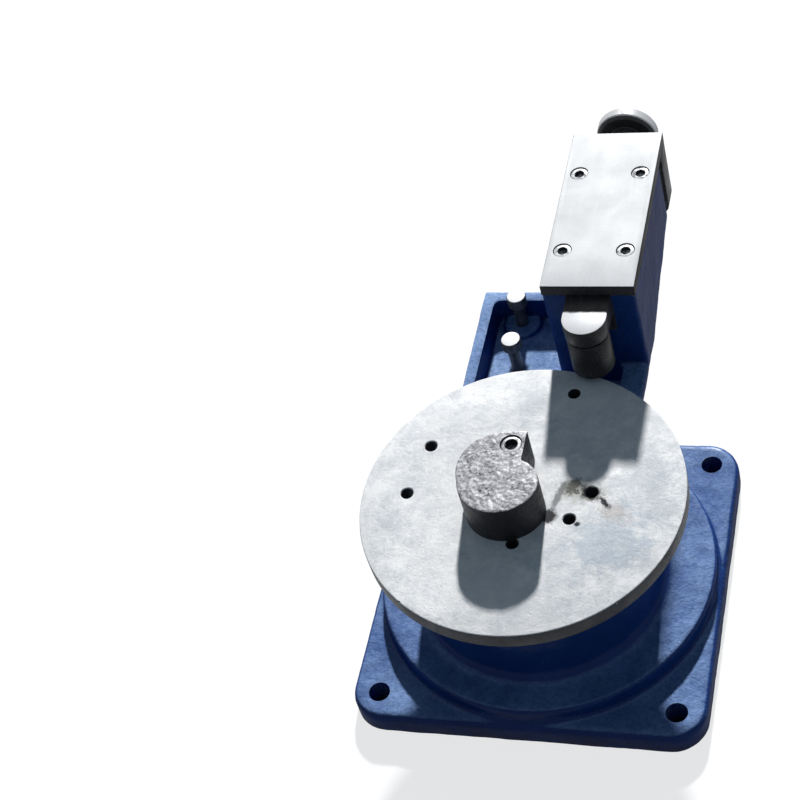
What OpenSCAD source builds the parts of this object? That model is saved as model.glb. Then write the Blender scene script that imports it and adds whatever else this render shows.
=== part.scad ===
// Bench tube bender: a turntable with a scroll die, and a screw-fed ram with a forming roller.
// The origin is the centre of the four foundation holes on the underside. X runs across,
// Y runs from the turntable back to the feed knob, and Z is up.

/* [Foot and drum] */
// Side of the square foot flange
flange_w = 280; // [272:1:300]
// Thickness of the foot flange
flange_t = 20; // [16:1:26]
// Corner radius of the foot flange
flange_r = 28; // [20:1:34]
// Distance of the foundation holes from the flange's edges
bolt_inset = 23; // [21:1:26]
// Diameter of the foundation holes
bolt_d = 17; // [14:0.5:20]
// Diameter of the round pad on the flange
pad_d = 270; // [262:1:272]
// Height of the round pad
pad_h = 15; // [11:1:19]
// Distance of the spindle axis in front of the foundation centre
spindle_forward = 10; // [2:1:14]
// Outer diameter of the drum
drum_d = 190; // [182:1:200]
// Wall of the drum
drum_wall = 12; // [10:1:15]
// Height of the drum's rim above the ground
rim_z = 120; // [114:1:130]
// Radius of the fillet between the drum and the pad
drum_fillet = 12; // [6:1:16]

/* [Rear arm and tray] */
// Distance of the ram's axis to the right of the spindle
ram_offset = 37.5; // [35:0.5:42]
// Distance of the tray's rear end behind the foundation centre
tray_rear = 217; // [212:1:224]
// Width of the raised rim round the tray
rim_w = 10; // [8:0.5:12]
// Depth of the tray below its rim
tray_depth = 22; // [16:1:24]
// Thickness of the arm under the tray
arm_floor = 22; // [19:1:26]
// Rise of the underside towards the rear, in degrees
belly_rise = 14.5; // [8:0.5:16]

/* [Ram housing] */
// Width of the ram housing
head_w = 74; // [70:1:80]
// Distance of the housing's front face behind the foundation centre
head_front = 141; // [139:1:146]
// Length of the cast housing
head_l = 143; // [138:1:150]
// Thickness of the cover plate
cover_t = 10; // [9:0.5:14]
// Spacing of the cover screws across
cover_pitch_x = 50; // [48:0.5:51]
// Distance of the front cover screws behind the housing's front face
cover_screw_front = 39; // [34:1:44]
// Distance of the rear cover screws in front of the rear block
cover_screw_rear = 18; // [17:1:26]
// Thickness of the rear bearing block
block_t = 28; // [26:1:32]
// Height of the rear bearing block
block_h = 64; // [60:1:66]

/* [Turntable] */
// Diameter of the disc
disc_d = 250; // [240:1:256]
// Thickness of the disc
disc_t = 14; // [13:0.5:18]
// Gap between the drum's rim and the disc
disc_gap = 6; // [5:0.5:9]
// Diameter of the pin holes in the disc
pin_hole_d = 10; // [8:0.5:11]
// Diameter of the spindle
spindle_d = 40; // [36:1:42]
// Diameter of the spindle's flange
spindle_flange_d = 76; // [74:1:77]
// Thickness of the spindle's flange
spindle_flange_t = 12; // [11:0.5:14]
// Diameter of the balls in the thrust bearing
ball_d = 8; // [7:0.25:8.5]
// Number of balls in the thrust bearing
ball_count = 14; // [10:1:15]
// Thickness of each thrust race
race_t = 4.5; // [4:0.25:5]

/* [Scroll die] */
// Height of the scroll die
die_h = 36; // [32:1:38]
// Radius of the die's front lobe
die_lobe_r = 32; // [30:0.5:33]
// Radius of the die's back lobe
die_back_r = 34; // [33:0.5:35]
// Radius of the run into the hook
die_spiral_r = 22.4; // [21:0.1:24]

/* [Ram and roller] */
// Width of the ram
ram_w = 35; // [34:1:40]
// Height of the ram
ram_h = 38; // [36:1:40]
// Gap between the ram's tail and the rear block when the ram is back
ram_tail_room = 14; // [12:0.5:24]
// Distance that the ram stands out of the housing when it is back
ram_out = 40; // [39:1:46]
// Thickness of the tongue over the roller
tongue_t = 15.9; // [14:0.1:18]
// Diameter of the forming roller
roller_d = 34; // [30:1:36]
// Height of the forming roller
roller_h = 36; // [32:1:40]
// Gap between the disc and the roller
roller_gap = 4; // [3:0.5:8]
// Diameter of the roller's axle
axle_d = 16; // [12:0.5:17]
// Travel of the ram
ram_travel = 70; // [40:1:72]

/* [Feed screw] */
// Diameter of the feed screw
screw_d = 20; // [18:0.5:22]
// Diameter of the screw's journal in the rear block
journal_d = 16; // [14:0.5:17]
// Diameter of the feed knob
knob_d = 51; // [44:1:56]
// Length of the feed knob
knob_l = 12; // [10:0.5:18]
// Distance from the rear block to the feed knob
knob_standoff = 24; // [22:1:32]
// Width across the flats of the crank square
square_w = 9.5; // [8:0.5:9.5]
// Length of the crank square
square_l = 14; // [8:1:20]

/* [Screws and pins] */
// Thread diameter of the cover screws
cover_screw_d = 8; // [6:0.5:8]
// Thread diameter of the rear block's screws
block_screw_d = 6; // [5:0.5:8]
// Thread diameter of the disc's screws
disc_screw_d = 8; // [6:0.5:8]
// Thread diameter of the die's screw
die_screw_d = 10; // [8:0.5:10]
// Shank diameter of the bending pins
bend_pin_d = 10; // [8:0.5:10]
// Length of a bending pin's shank
bend_pin_l = 38; // [35:1:40]
// Exposed length of a parked pin's shank
bend_pin_show = 27; // [23:1:29]

/* [Fits] */
// Radial clearance of the running fits
run_fit = 0.05; // [0.02:0.01:0.09]
// Clearance of the ram on each side of its channel
slide_fit = 0.1; // [0.05:0.05:0.2]
// Radial clearance round threads and shanks
thread_fit = 0.1; // [0.05:0.05:0.3]
// End float between faces that turn against each other
end_float = 0.3; // [0.2:0.05:0.5]

/* [Hidden] */
$fn = 64;
e = 0.01;

// Heights, worked out upwards from the drum's rim
disc_z = rim_z + disc_gap;
disc_top = disc_z + disc_t;
roller_z = disc_top + roller_gap;
roller_top = roller_z + roller_h;
upper_washer_t = 1.6;
washer_float = 0.2;
tongue_z = roller_top + upper_washer_t + 2 * washer_float;
ram_top = tongue_z + tongue_t;
ram_z = ram_top - ram_h;
ram_axis_z = ram_top - ram_h / 2;
head_top = ram_top + slide_fit;
cover_top = head_top + cover_t;
tray_z = rim_z - tray_depth;
belly_z = tray_z - arm_floor;

// Places across and along
spindle_y = -spindle_forward;
head_x = ram_offset;
head_left = head_x - head_w / 2;
head_right = head_x + head_w / 2;
head_rear = head_front + head_l;
block_rear = head_rear + block_t;
bolt_pitch = flange_w - 2 * bolt_inset;
arm_half = head_right;
arm_front = sqrt(pow(drum_d / 2, 2) - pow(arm_half, 2)) - spindle_forward - 8;
side_drop = 7;
belly_level = 29;
belly_start = head_front + belly_level;
belly_edge = 14;
belly_side = 13;
belly_lean = 19;
belly_run = head_rear - belly_start;
belly_lift = belly_run * tan(belly_rise);
tray_gap = 9;
tray_front = drum_d / 2 - spindle_forward + tray_gap;
right_wall = 20.5;
tray_right = arm_half - right_wall;
gusset_root = 4;
gusset_run = 15;

// Hub and thrust bearing, worked out downwards from the disc
flange_z = disc_z - spindle_flange_t;
upper_race_z = flange_z - race_t;
ball_gap = 5;
groove_r = ball_d / 2 + end_float;
ball_z = upper_race_z - ball_gap / 2;
lower_race_z = upper_race_z - ball_gap - race_t;
race_out_d = 66;
race_in_d = spindle_d + 4;
ball_circle_r = (race_out_d + race_in_d) / 4;
race_seat_d = race_out_d + 2 * thread_fit;
flange_room_d = spindle_flange_d + 6;
flange_room_z = flange_z - 2;
hub_d = 92;
hub_z = 46;
bush_t = 4;
bush_l = 26;
bush_flange_d = spindle_d + 2 * bush_t + 12;
lower_flange_t = 4;
washer_t = 4;
nut_t = 12;
nut_flats = 55;
spindle_end_z = 22;
thread_end_d = spindle_d - 4;
washer_z = hub_z - lower_flange_t - end_float - washer_t;
nut_z = washer_z - nut_t;
spigot_d = 30;
spigot_h = 3;
web_t = 16;
rib_t = 10;

// Ram, feed nut and feed screw
ram_tip = head_front - ram_out;
ram_tail = head_rear - ram_tail_room;
ram_l = ram_tail - ram_tip;
roller_y = ram_tip + ram_w / 2;
shoulder_y = head_front - 1.5;
nut_body_d = 28;
nut_body_l = 22;
nut_flange_t = 5;
nut_flange_w = ram_w - 1;
nut_flange_h = ram_h - 1;
nut_screw_d = 4;
nut_screw_head_d = 8;
nut_screw_hole = 20;
nut_screw_r = nut_body_d / 2 + nut_screw_d / 2 + 1.2;
nut_front = ram_tail - nut_body_l;
screw_front = nut_front - ram_travel - 2;
screw_room_d = screw_d + 3;
screw_room_front = screw_front - 5;
inner_collar_d = 32;
inner_collar_t = 6;
inner_collar_y = head_rear - end_float - inner_collar_t;
bush_wall = 4;
bush_flange_t = 4;
screw_bush_d = journal_d + 2 * bush_wall;
screw_bush_flange_d = inner_collar_d + 2;
collar_d = 34;
collar_l = 14;
collar_y = block_rear + end_float;
knob_y = block_rear + knob_standoff;
knob_rear = knob_y + knob_l;
knob_bore_d = 14;
knob_neck_d = 28;
knob_chamfer = 5;
square_end = knob_rear + square_l;

// Screws
cover_head_d = cover_screw_d + 5;
cover_head_h = cover_screw_d * 0.625;
counterbore_d = cover_head_d + 2;
cover_sink = cover_head_h + 0.8;
cover_screw_rows = [head_front + cover_screw_front, head_rear - cover_screw_rear];
cover_screw_l = 24;
block_screw_pitch_x = 56;
block_screw_pitch_z = 40;
block_screw_l = 32;
disc_screw_land = 12.5;
disc_screw_circle_r = spigot_d / 2 + disc_screw_land;
disc_screw_turn = 60;
die_screw_place = [-4.6, 21.4];
die_dowel_place = [-12, -8];
die_dowel_d = 10;
die_dowel_l = 20;
rear_pin_side = 32.5;
rear_pin_end = 18.5;
front_pin_side = 36.5;
front_pin_end = 10;
parked = [
    [-arm_half + rear_pin_side, tray_rear - rear_pin_end],
    [-arm_half + front_pin_side, head_front + front_pin_end]
];
boss_d = 28;
boss_h = 4;

// Pin holes in the disc, as distance from the spindle and direction in degrees
pin_holes = [[91.5, 150.7], [89.4, 181], [54, 6], [45, -26], [104, 76], [43.7, -88.4]];

// Outline of the scroll die, from the spindle axis
die_lobe = [-8.5, -10.5];
die_back = [-9, -1];
die_spiral_turn = -30;
die_spiral_way = [cos(die_spiral_turn), sin(die_spiral_turn)];
die_spiral = die_lobe + (die_lobe_r - die_spiral_r) * die_spiral_way;
die_hook_x = 5.6;
die_horn_y = 34.6;
die_head_sink = 1;

module at_spindle() translate([0, spindle_y, 0]) children();

// Turns a cylinder or a profile so that its axis runs along +Y
module along_y() rotate([-90, 0, 0]) children();

module tube(outer_d, inner_d, h) {
    difference() {
        cylinder(d = outer_d, h = h);
        translate([0, 0, -e]) cylinder(d = inner_d, h = h + 2 * e);
    }
}

// Rectangle with round corners, from one corner to the other, with its foot at z = 0
module round_slab(x0, y0, x1, y1, h, r) {
    translate([x0 + r, y0, 0]) cube([x1 - x0 - 2 * r, y1 - y0, h]);
    translate([x0, y0 + r, 0]) cube([x1 - x0, y1 - y0 - 2 * r, h]);
    for (x = [x0 + r, x1 - r], y = [y0 + r, y1 - r]) translate([x, y, 0]) cylinder(r = r, h = h);
}

// Socket cap screw with its head's underside at z = 0 and its shank downwards
module cap_screw(d, shank, head_d, head_h) {
    translate([0, 0, -shank]) cylinder(d = d, h = shank + e);
    difference() {
        cylinder(d = head_d, h = head_h);
        translate([0, 0, head_h * 0.45]) cylinder(d = d * 0.87, h = head_h, $fn = 6);
    }
}

module at_bolts() {
    for (x = [-1, 1], y = [-1, 1]) translate([x * bolt_pitch / 2, y * bolt_pitch / 2, 0]) children();
}

module at_cover_screws() {
    for (x = [-1, 1], y = cover_screw_rows)
        translate([head_x + x * cover_pitch_x / 2, y, 0]) children();
}

module at_block_screws() {
    for (x = [-1, 1], z = [-1, 1])
        translate([head_x + x * block_screw_pitch_x / 2, 0, ram_axis_z - 12 + z * block_screw_pitch_z / 2])
            children();
}

module at_disc_screws() {
    for (a = [0:90:270])
        rotate(disc_screw_turn + a) translate([disc_screw_circle_r, 0, 0]) children();
}

// Section of the arm and housing across Y, with its underside raised by lift.
// Its right side leans in below the side face.
module arm_section(y, lift) {
    under = belly_z + lift;
    translate([0, y, 0]) along_y() linear_extrude(e)
        polygon([
            [-arm_half, -head_top], [-arm_half, -under - belly_edge], [-arm_half + belly_side, -under],
            [arm_half - belly_lean, -under], [arm_half, -(rim_z - side_drop + lift)], [arm_half, -head_top]
        ]);
}

module arm_bar() {
    hull() {
        arm_section(arm_front, 0);
        arm_section(belly_start, 0);
    }
    hull() {
        arm_section(belly_start, 0);
        arm_section(head_rear - e, belly_lift);
    }
}

// Web under the arm, from the drum to the belly
module arm_gusset() {
    foot_z = flange_t + pad_h;
    root_y = drum_d / 2 - spindle_forward - drum_wall / 2;
    translate([-rib_t, 0, 0]) rotate([90, 0, 90]) linear_extrude(2 * rib_t)
        polygon([[root_y, foot_z + drum_fillet], [root_y, belly_z + gusset_root],
                 [belly_start + gusset_run, belly_z + gusset_root], [belly_start - 5, belly_z - 5],
                 [root_y + drum_wall, foot_z + drum_fillet]]);
}

module drum_outside() {
    foot_z = flange_t + pad_h;
    r = drum_d / 2;
    difference() {
        translate([0, 0, foot_z - 1]) cylinder(r = r + drum_fillet, h = drum_fillet + 1, $fn = 96);
        translate([0, 0, foot_z + drum_fillet]) rotate_extrude($fn = 96)
            translate([r + drum_fillet, 0]) circle(r = drum_fillet, $fn = 48);
    }
    translate([0, 0, foot_z - 1]) cylinder(r = r, h = rim_z - foot_z + 1, $fn = 96);
}

module drum_cavity() {
    top_z = rim_z - web_t;
    difference() {
        translate([0, 0, -e]) cylinder(d = drum_d - 2 * drum_wall, h = top_z + e, $fn = 96);
        translate([0, 0, hub_z]) cylinder(d = hub_d, h = top_z);
        for (a = [45:90:315]) rotate(a)
            translate([hub_d / 2 - 5, -rib_t / 2, flange_t / 2]) cube([drum_d / 2, rib_t, top_z]);
    }
}

module hub_bores() {
    translate([0, 0, hub_z - e]) cylinder(d = spindle_d + 2 * bush_t, h = rim_z);
    translate([0, 0, lower_race_z]) cylinder(d = race_seat_d, h = rim_z);
    translate([0, 0, flange_room_z]) cylinder(d = flange_room_d, h = rim_z);
}

// The tray runs beside the housing and round in front of it
module tray_pocket() {
    corner_r = 8;
    translate([0, 0, tray_z]) {
        round_slab(-arm_half + rim_w, tray_front, head_left, tray_rear - rim_w, rim_z, corner_r);
        round_slab(head_left - 2 * corner_r, tray_front, tray_right, head_front, rim_z, corner_r);
    }
}

module base_casting() color("royalblue") {
    difference() {
        union() {
            round_slab(-flange_w / 2, -flange_w / 2, flange_w / 2, flange_w / 2, flange_t, flange_r);
            translate([0, 0, flange_t - 1]) cylinder(d = pad_d, h = pad_h - 3, $fn = 128);
            translate([0, 0, flange_t + pad_h - 4 - e])
                cylinder(d1 = pad_d, d2 = pad_d - 6, h = 4 + e, $fn = 128);
            at_spindle() drum_outside();
            intersection() {
                arm_bar();
                translate([-arm_half, 0, 0]) cube([2 * arm_half, tray_rear, rim_z]);
            }
            intersection() {
                arm_bar();
                translate([head_left, head_front, 0]) cube([head_w, head_l, head_top]);
            }
            arm_gusset();
        }
        translate([0, 0, -e]) at_bolts() cylinder(d = bolt_d, h = flange_t + 2 * e);
        at_spindle() drum_cavity();
        at_spindle() hub_bores();
        difference() {
            tray_pocket();
            translate([parked[0][0], parked[0][1], 0]) cylinder(d = boss_d, h = tray_z + boss_h);
        }
        for (p = parked)
            translate([p[0], p[1], tray_z + bend_pin_show - bend_pin_l - 2])
                cylinder(d = bend_pin_d + 2 * thread_fit, h = rim_z);
        translate([head_x - ram_w / 2 - slide_fit, head_front - 1, ram_z - slide_fit])
            cube([ram_w + 2 * slide_fit, head_l + 2, ram_h + 1]);
        translate([0, 0, head_top - cover_screw_l]) at_cover_screws()
            cylinder(d = cover_screw_d + 2 * thread_fit, h = cover_screw_l + 1);
        translate([0, block_rear - block_screw_d - 1 - block_screw_l, 0]) at_block_screws() along_y()
            cylinder(d = block_screw_d + 2 * thread_fit, h = block_screw_l);
    }
}

module cover_plate() color("silver") {
    difference() {
        translate([head_left, head_front, head_top]) cube([head_w, head_l + block_t + 1, cover_t]);
        at_cover_screws() {
            translate([0, 0, head_top - 1]) cylinder(d = cover_screw_d + 4 * thread_fit, h = cover_t + 2);
            translate([0, 0, cover_top - cover_sink]) cylinder(d = counterbore_d, h = cover_t);
        }
    }
}

module cover_screws() color("dimgray") {
    translate([0, 0, cover_top - cover_sink]) at_cover_screws()
        cap_screw(cover_screw_d, cover_screw_l + cover_t - cover_sink - 2, cover_head_d, cover_head_h);
}

module rear_block() color("dimgray") {
    corner_r = 10;
    bottom = head_top - block_h;
    groove_l = 9;
    groove_in = 2.5;
    difference() {
        union() {
            translate([head_left, head_rear + groove_l, bottom + corner_r])
                cube([head_w, block_t - groove_l, block_h - corner_r]);
            translate([head_left + corner_r, head_rear + groove_l, bottom])
                cube([head_w - 2 * corner_r, block_t - groove_l, block_h]);
            for (x = [head_left + corner_r, head_right - corner_r])
                translate([x, head_rear + groove_l, bottom + corner_r]) along_y()
                    cylinder(r = corner_r, h = block_t - groove_l);
            translate([head_left + groove_in, head_rear, bottom + groove_in + 6])
                cube([head_w - 2 * groove_in, groove_l + e, block_h - groove_in - 6]);
        }
        translate([head_x, head_rear - e, ram_axis_z]) along_y() {
            cylinder(d = screw_bush_d, h = block_t + 2 * e);
            cylinder(d = screw_bush_flange_d + 2 * thread_fit, h = bush_flange_t + e);
        }
        translate([0, head_rear - e, 0]) at_block_screws() along_y() {
            cylinder(d = block_screw_d + 4 * thread_fit, h = block_t + 2 * e);
            translate([0, 0, block_t - block_screw_d - 1]) cylinder(d = block_screw_d + 5, h = block_t);
        }
    }
}

module block_screws() color("dimgray") {
    translate([0, block_rear - block_screw_d - 1, 0]) at_block_screws() along_y()
        cap_screw(block_screw_d, block_screw_l - 2, block_screw_d + 4, block_screw_d);
}

module screw_bush() color("goldenrod") {
    translate([head_x, head_rear, ram_axis_z]) along_y() difference() {
        union() {
            cylinder(d = screw_bush_d, h = block_t);
            cylinder(d = screw_bush_flange_d, h = bush_flange_t);
        }
        translate([0, 0, -e]) cylinder(d = journal_d + 2 * run_fit, h = block_t + 2 * e);
    }
}

module upper_bush() color("goldenrod") {
    at_spindle() translate([0, 0, lower_race_z - bush_l])
        tube(spindle_d + 2 * bush_t, spindle_d + 2 * run_fit, bush_l);
}

module lower_bush() color("goldenrod") {
    at_spindle() translate([0, 0, hub_z - lower_flange_t]) difference() {
        union() {
            cylinder(d = spindle_d + 2 * bush_t, h = bush_l);
            cylinder(d = bush_flange_d, h = lower_flange_t);
        }
        translate([0, 0, -e]) cylinder(d = spindle_d + 2 * run_fit, h = bush_l + 2 * e);
    }
}

// Thrust race with its ball groove
module race(z, outer_d, inner_d) {
    at_spindle() difference() {
        translate([0, 0, z]) tube(outer_d, inner_d, race_t);
        translate([0, 0, ball_z]) rotate_extrude()
            translate([ball_circle_r, 0]) circle(r = groove_r, $fn = 48);
    }
}

module thrust_race_lower() color("lightsteelblue") race(lower_race_z, race_out_d, race_in_d);

module thrust_race_upper() color("lightsteelblue")
    race(upper_race_z, race_out_d - 1, spindle_d + 2 * thread_fit);

module thrust_balls() color("gainsboro") {
    at_spindle() for (i = [0 : ball_count - 1])
        rotate(i * 360 / ball_count) translate([ball_circle_r, 0, ball_z]) sphere(d = ball_d, $fn = 24);
}

module thrust_cage() color("goldenrod") {
    cage_t = ball_gap - 2;
    at_spindle() difference() {
        translate([0, 0, ball_z - cage_t / 2]) tube(race_out_d - 1, race_in_d + 1, cage_t);
        for (i = [0 : ball_count - 1]) rotate(i * 360 / ball_count)
            translate([ball_circle_r, 0, ball_z - cage_t]) cylinder(d = ball_d + 0.4, h = 2 * cage_t);
    }
}

// Plain headed bending pins, parked in the tray
module bending_pins() color("silver") {
    head_h = 10;
    for (p = parked) translate([p[0], p[1], tray_z + bend_pin_show]) {
        translate([0, 0, -bend_pin_l]) cylinder(d = bend_pin_d, h = bend_pin_l + e);
        cylinder(d = bend_pin_d + 6, h = head_h - 1);
        translate([0, 0, head_h - 1 - e]) cylinder(d1 = bend_pin_d + 6, d2 = bend_pin_d + 4, h = 1);
    }
}

module disc() color("silver") {
    chamfer = 1;
    at_spindle() difference() {
        union() {
            translate([0, 0, disc_z])
                cylinder(d1 = disc_d - 2 * chamfer, d2 = disc_d, h = chamfer, $fn = 160);
            translate([0, 0, disc_z + chamfer]) cylinder(d = disc_d, h = disc_t - 2 * chamfer, $fn = 160);
            translate([0, 0, disc_top - chamfer])
                cylinder(d1 = disc_d, d2 = disc_d - 2 * chamfer, h = chamfer, $fn = 160);
        }
        for (p = pin_holes) rotate(p[1]) translate([p[0], 0, disc_z - 1])
            cylinder(d = pin_hole_d, h = disc_t + 2);
        translate([0, 0, disc_z - e]) cylinder(d = spigot_d + 2 * thread_fit, h = spigot_h + e + 0.2);
        translate([0, 0, disc_z - e]) at_disc_screws()
            cylinder(d = disc_screw_d + 2 * thread_fit, h = disc_t - 3);
        translate([die_screw_place[0], die_screw_place[1], disc_z + 1])
            cylinder(d = die_screw_d + 2 * thread_fit, h = disc_t);
        translate([die_dowel_place[0], die_dowel_place[1], disc_top - die_dowel_l / 2])
            cylinder(d = die_dowel_d, h = disc_t);
    }
}

module spindle() color("lightsteelblue") {
    shoulder_z = washer_z + washer_t;
    sink = disc_screw_d + 0.5;
    at_spindle() difference() {
        union() {
            translate([0, 0, shoulder_z]) cylinder(d = spindle_d, h = flange_z - shoulder_z + e);
            translate([0, 0, spindle_end_z]) cylinder(d = thread_end_d, h = shoulder_z - spindle_end_z + e);
            translate([0, 0, flange_z]) cylinder(d = spindle_flange_d, h = spindle_flange_t);
            translate([0, 0, disc_z - e]) cylinder(d = spigot_d, h = spigot_h + e);
        }
        translate([0, 0, flange_z - e]) at_disc_screws() {
            cylinder(d = disc_screw_d + 4 * thread_fit, h = spindle_flange_t + 2);
            cylinder(d = disc_screw_d + 5, h = sink + e);
        }
    }
}

module disc_screws() color("dimgray") {
    sink = disc_screw_d + 0.5;
    shank = spindle_flange_t - sink + disc_t - 5;
    at_spindle() translate([0, 0, flange_z + sink]) at_disc_screws() mirror([0, 0, 1])
        cap_screw(disc_screw_d, shank, disc_screw_d + 4.5, disc_screw_d);
}

module spindle_washer() color("silver") {
    at_spindle() translate([0, 0, washer_z])
        tube(bush_flange_d, thread_end_d + 2 * thread_fit, washer_t);
}

module spindle_nut() color("dimgray") {
    at_spindle() translate([0, 0, nut_z]) difference() {
        cylinder(d = nut_flats / cos(30), h = nut_t, $fn = 6);
        translate([0, 0, -e]) cylinder(d = thread_end_d + 2 * thread_fit, h = nut_t + 2 * e);
    }
}

// Snail-shaped core: two lobes and a horn, with a run that curls in to the notch under the hook face
module die_blank(h) {
    cut_y = die_lobe[1] + die_lobe_r * sin(die_spiral_turn);
    reach = 2 * die_back_r;
    difference() {
        union() {
            translate([die_lobe[0], die_lobe[1], 0]) cylinder(r = die_lobe_r, h = h, $fn = 96);
            translate([die_back[0], die_back[1], 0]) cylinder(r = die_back_r, h = h, $fn = 96);
            linear_extrude(h)
                polygon([[die_back[0], 0], [die_back[0], die_back[1] + die_back_r],
                         [die_hook_x + 1, die_horn_y], [die_hook_x + 1, 0]]);
        }
        difference() {
            translate([die_hook_x, cut_y, -1]) cube([reach, reach, h + 2]);
            translate([die_spiral[0], die_spiral[1], -2]) cylinder(r = die_spiral_r, h = h + 4, $fn = 96);
        }
    }
}

module scroll_die() color("dimgray") {
    head_h = die_screw_d;
    at_spindle() translate([0, 0, disc_top]) difference() {
        die_blank(die_h);
        translate([die_screw_place[0], die_screw_place[1], -1]) {
            cylinder(d = die_screw_d + 4 * thread_fit, h = die_h + 2);
            translate([0, 0, die_h - head_h - die_head_sink + 1]) cylinder(d = die_screw_d + 7, h = die_h);
        }
        translate([die_dowel_place[0], die_dowel_place[1], -1])
            cylinder(d = die_dowel_d + 2 * thread_fit, h = die_dowel_l / 2 + 1.5);
    }
}

module die_screw() color("dimgray") {
    head_h = die_screw_d;
    head_z = die_h - head_h - die_head_sink;
    shank = head_z + disc_t - 2;
    at_spindle() translate([die_screw_place[0], die_screw_place[1], disc_top + head_z])
        cap_screw(die_screw_d, shank, die_screw_d + 6, head_h);
}

module die_dowel() color("gainsboro") {
    at_spindle() translate([die_dowel_place[0], die_dowel_place[1], disc_top - die_dowel_l / 2])
        cylinder(d = die_dowel_d, h = die_dowel_l);
}

module ram() color("gray") {
    difference() {
        union() {
            translate([head_x - ram_w / 2, roller_y, ram_z]) cube([ram_w, ram_l - ram_w / 2, ram_h]);
            translate([head_x, roller_y, ram_z]) cylinder(d = ram_w, h = ram_h);
        }
        translate([head_x - ram_w, ram_tip - 1, ram_z - 1])
            cube([2 * ram_w, shoulder_y - ram_tip + 1, tongue_z - ram_z + 1]);
        translate([head_x, roller_y, tongue_z - 1]) cylinder(d = axle_d, h = tongue_t - 3 + 1);
        translate([head_x, screw_room_front, ram_axis_z]) along_y() {
            cylinder(d = screw_room_d, h = ram_l);
            translate([0, 0, nut_front - screw_room_front]) cylinder(d = nut_body_d, h = ram_l);
        }
        translate([head_x, ram_tail - 12, ram_axis_z]) along_y() for (a = [45, 225])
            rotate(a) translate([nut_screw_r, 0, 0])
                cylinder(d = nut_screw_d + 2 * thread_fit, h = nut_screw_hole);
    }
}

module ram_nut() color("goldenrod") {
    translate([head_x, nut_front, ram_axis_z]) along_y() difference() {
        union() {
            cylinder(d = nut_body_d, h = nut_body_l + e);
            translate([0, 0, nut_body_l]) intersection() {
                cylinder(d = nut_flange_h * 1.25, h = nut_flange_t);
                translate([-nut_flange_w / 2, -nut_flange_h / 2, 0])
                    cube([nut_flange_w, nut_flange_h, nut_flange_t]);
            }
        }
        translate([0, 0, -e]) cylinder(d = screw_d + 2 * run_fit, h = nut_body_l + nut_flange_t + 2 * e);
        for (a = [45, 225]) rotate(a) translate([nut_screw_r, 0, nut_body_l - e]) {
            cylinder(d = nut_screw_d + 2 * thread_fit, h = nut_flange_t + 2 * e);
            translate([0, 0, nut_flange_t - 2.4])
                cylinder(d1 = nut_screw_d + 2 * thread_fit, d2 = nut_screw_head_d + 0.6, h = 2.4 + 2 * e);
        }
    }
}

module nut_screws() color("dimgray") {
    translate([head_x, ram_tail, ram_axis_z]) along_y() for (a = [45, 225])
        rotate(a) translate([nut_screw_r, 0, 0]) {
            translate([0, 0, -10]) cylinder(d = nut_screw_d, h = 10 + nut_flange_t - 2.3);
            translate([0, 0, nut_flange_t - 2.3]) cylinder(d1 = nut_screw_d, d2 = nut_screw_head_d, h = 2.2);
        }
}

module axle_pin() color("gainsboro") {
    pin_z = roller_z + 1.5;
    groove_z = roller_z + 2.6;
    translate([head_x, roller_y, 0]) difference() {
        translate([0, 0, pin_z]) cylinder(d = axle_d, h = tongue_z + tongue_t - 3 - pin_z);
        translate([0, 0, groove_z]) tube(axle_d + 2, axle_d - 1.6, 1.4);
    }
}

module axle_washers() color("silver") {
    translate([head_x, roller_y, roller_top + washer_float])
        tube(axle_d + 12, axle_d + 2 * thread_fit, upper_washer_t);
    translate([head_x, roller_y, roller_z + 4.1]) tube(axle_d + 10, axle_d + 2 * thread_fit, 1.6);
}

module axle_clip() color("dimgray") {
    translate([head_x, roller_y, roller_z + 2.7]) difference() {
        tube(axle_d + 5, axle_d - 1.4, 1.2);
        translate([0, -4, -1]) cube([axle_d, 8, 4]);
    }
}

module roller() color("gray") {
    bush_d = axle_d + 6;
    recess_d = axle_d + 12;
    recess_h = 6;
    chamfer = 1.5;
    translate([head_x, roller_y, roller_z]) difference() {
        union() {
            cylinder(d1 = roller_d - 2 * chamfer, d2 = roller_d, h = chamfer);
            translate([0, 0, chamfer - e]) cylinder(d = roller_d, h = roller_h - 2 * chamfer + 2 * e);
            translate([0, 0, roller_h - chamfer])
                cylinder(d1 = roller_d, d2 = roller_d - 2 * chamfer, h = chamfer);
        }
        translate([0, 0, -e]) cylinder(d = bush_d, h = roller_h + 2 * e);
        translate([0, 0, -e]) cylinder(d = recess_d, h = recess_h + e);
    }
}

module roller_bush() color("goldenrod") {
    translate([head_x, roller_y, roller_z + 6]) tube(axle_d + 6, axle_d + 2 * run_fit, roller_h - 6);
}

module feed_screw() color("lightsteelblue") {
    translate([head_x, 0, ram_axis_z]) difference() {
        union() {
            translate([0, screw_front, 0]) along_y()
                cylinder(d = screw_d, h = inner_collar_y - screw_front + e);
            translate([0, inner_collar_y, 0]) along_y() cylinder(d = inner_collar_d, h = inner_collar_t);
            translate([0, inner_collar_y, 0]) along_y()
                cylinder(d = journal_d, h = collar_y + collar_l - inner_collar_y);
            translate([0, collar_y, 0]) along_y() cylinder(d = knob_bore_d, h = knob_rear - collar_y);
            translate([-square_w / 2, knob_rear - e, -square_w / 2]) cube([square_w, square_l, square_w]);
        }
        translate([0, knob_y + knob_l / 2, -knob_d]) cylinder(d = 4, h = 2 * knob_d);
    }
}

module thrust_collar() color("dimgray") {
    translate([head_x, collar_y, ram_axis_z]) difference() {
        along_y() tube(collar_d, journal_d, collar_l);
        translate([0, collar_l / 2, 0]) cylinder(d = 6 + 2 * thread_fit, h = collar_d);
    }
}

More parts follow.
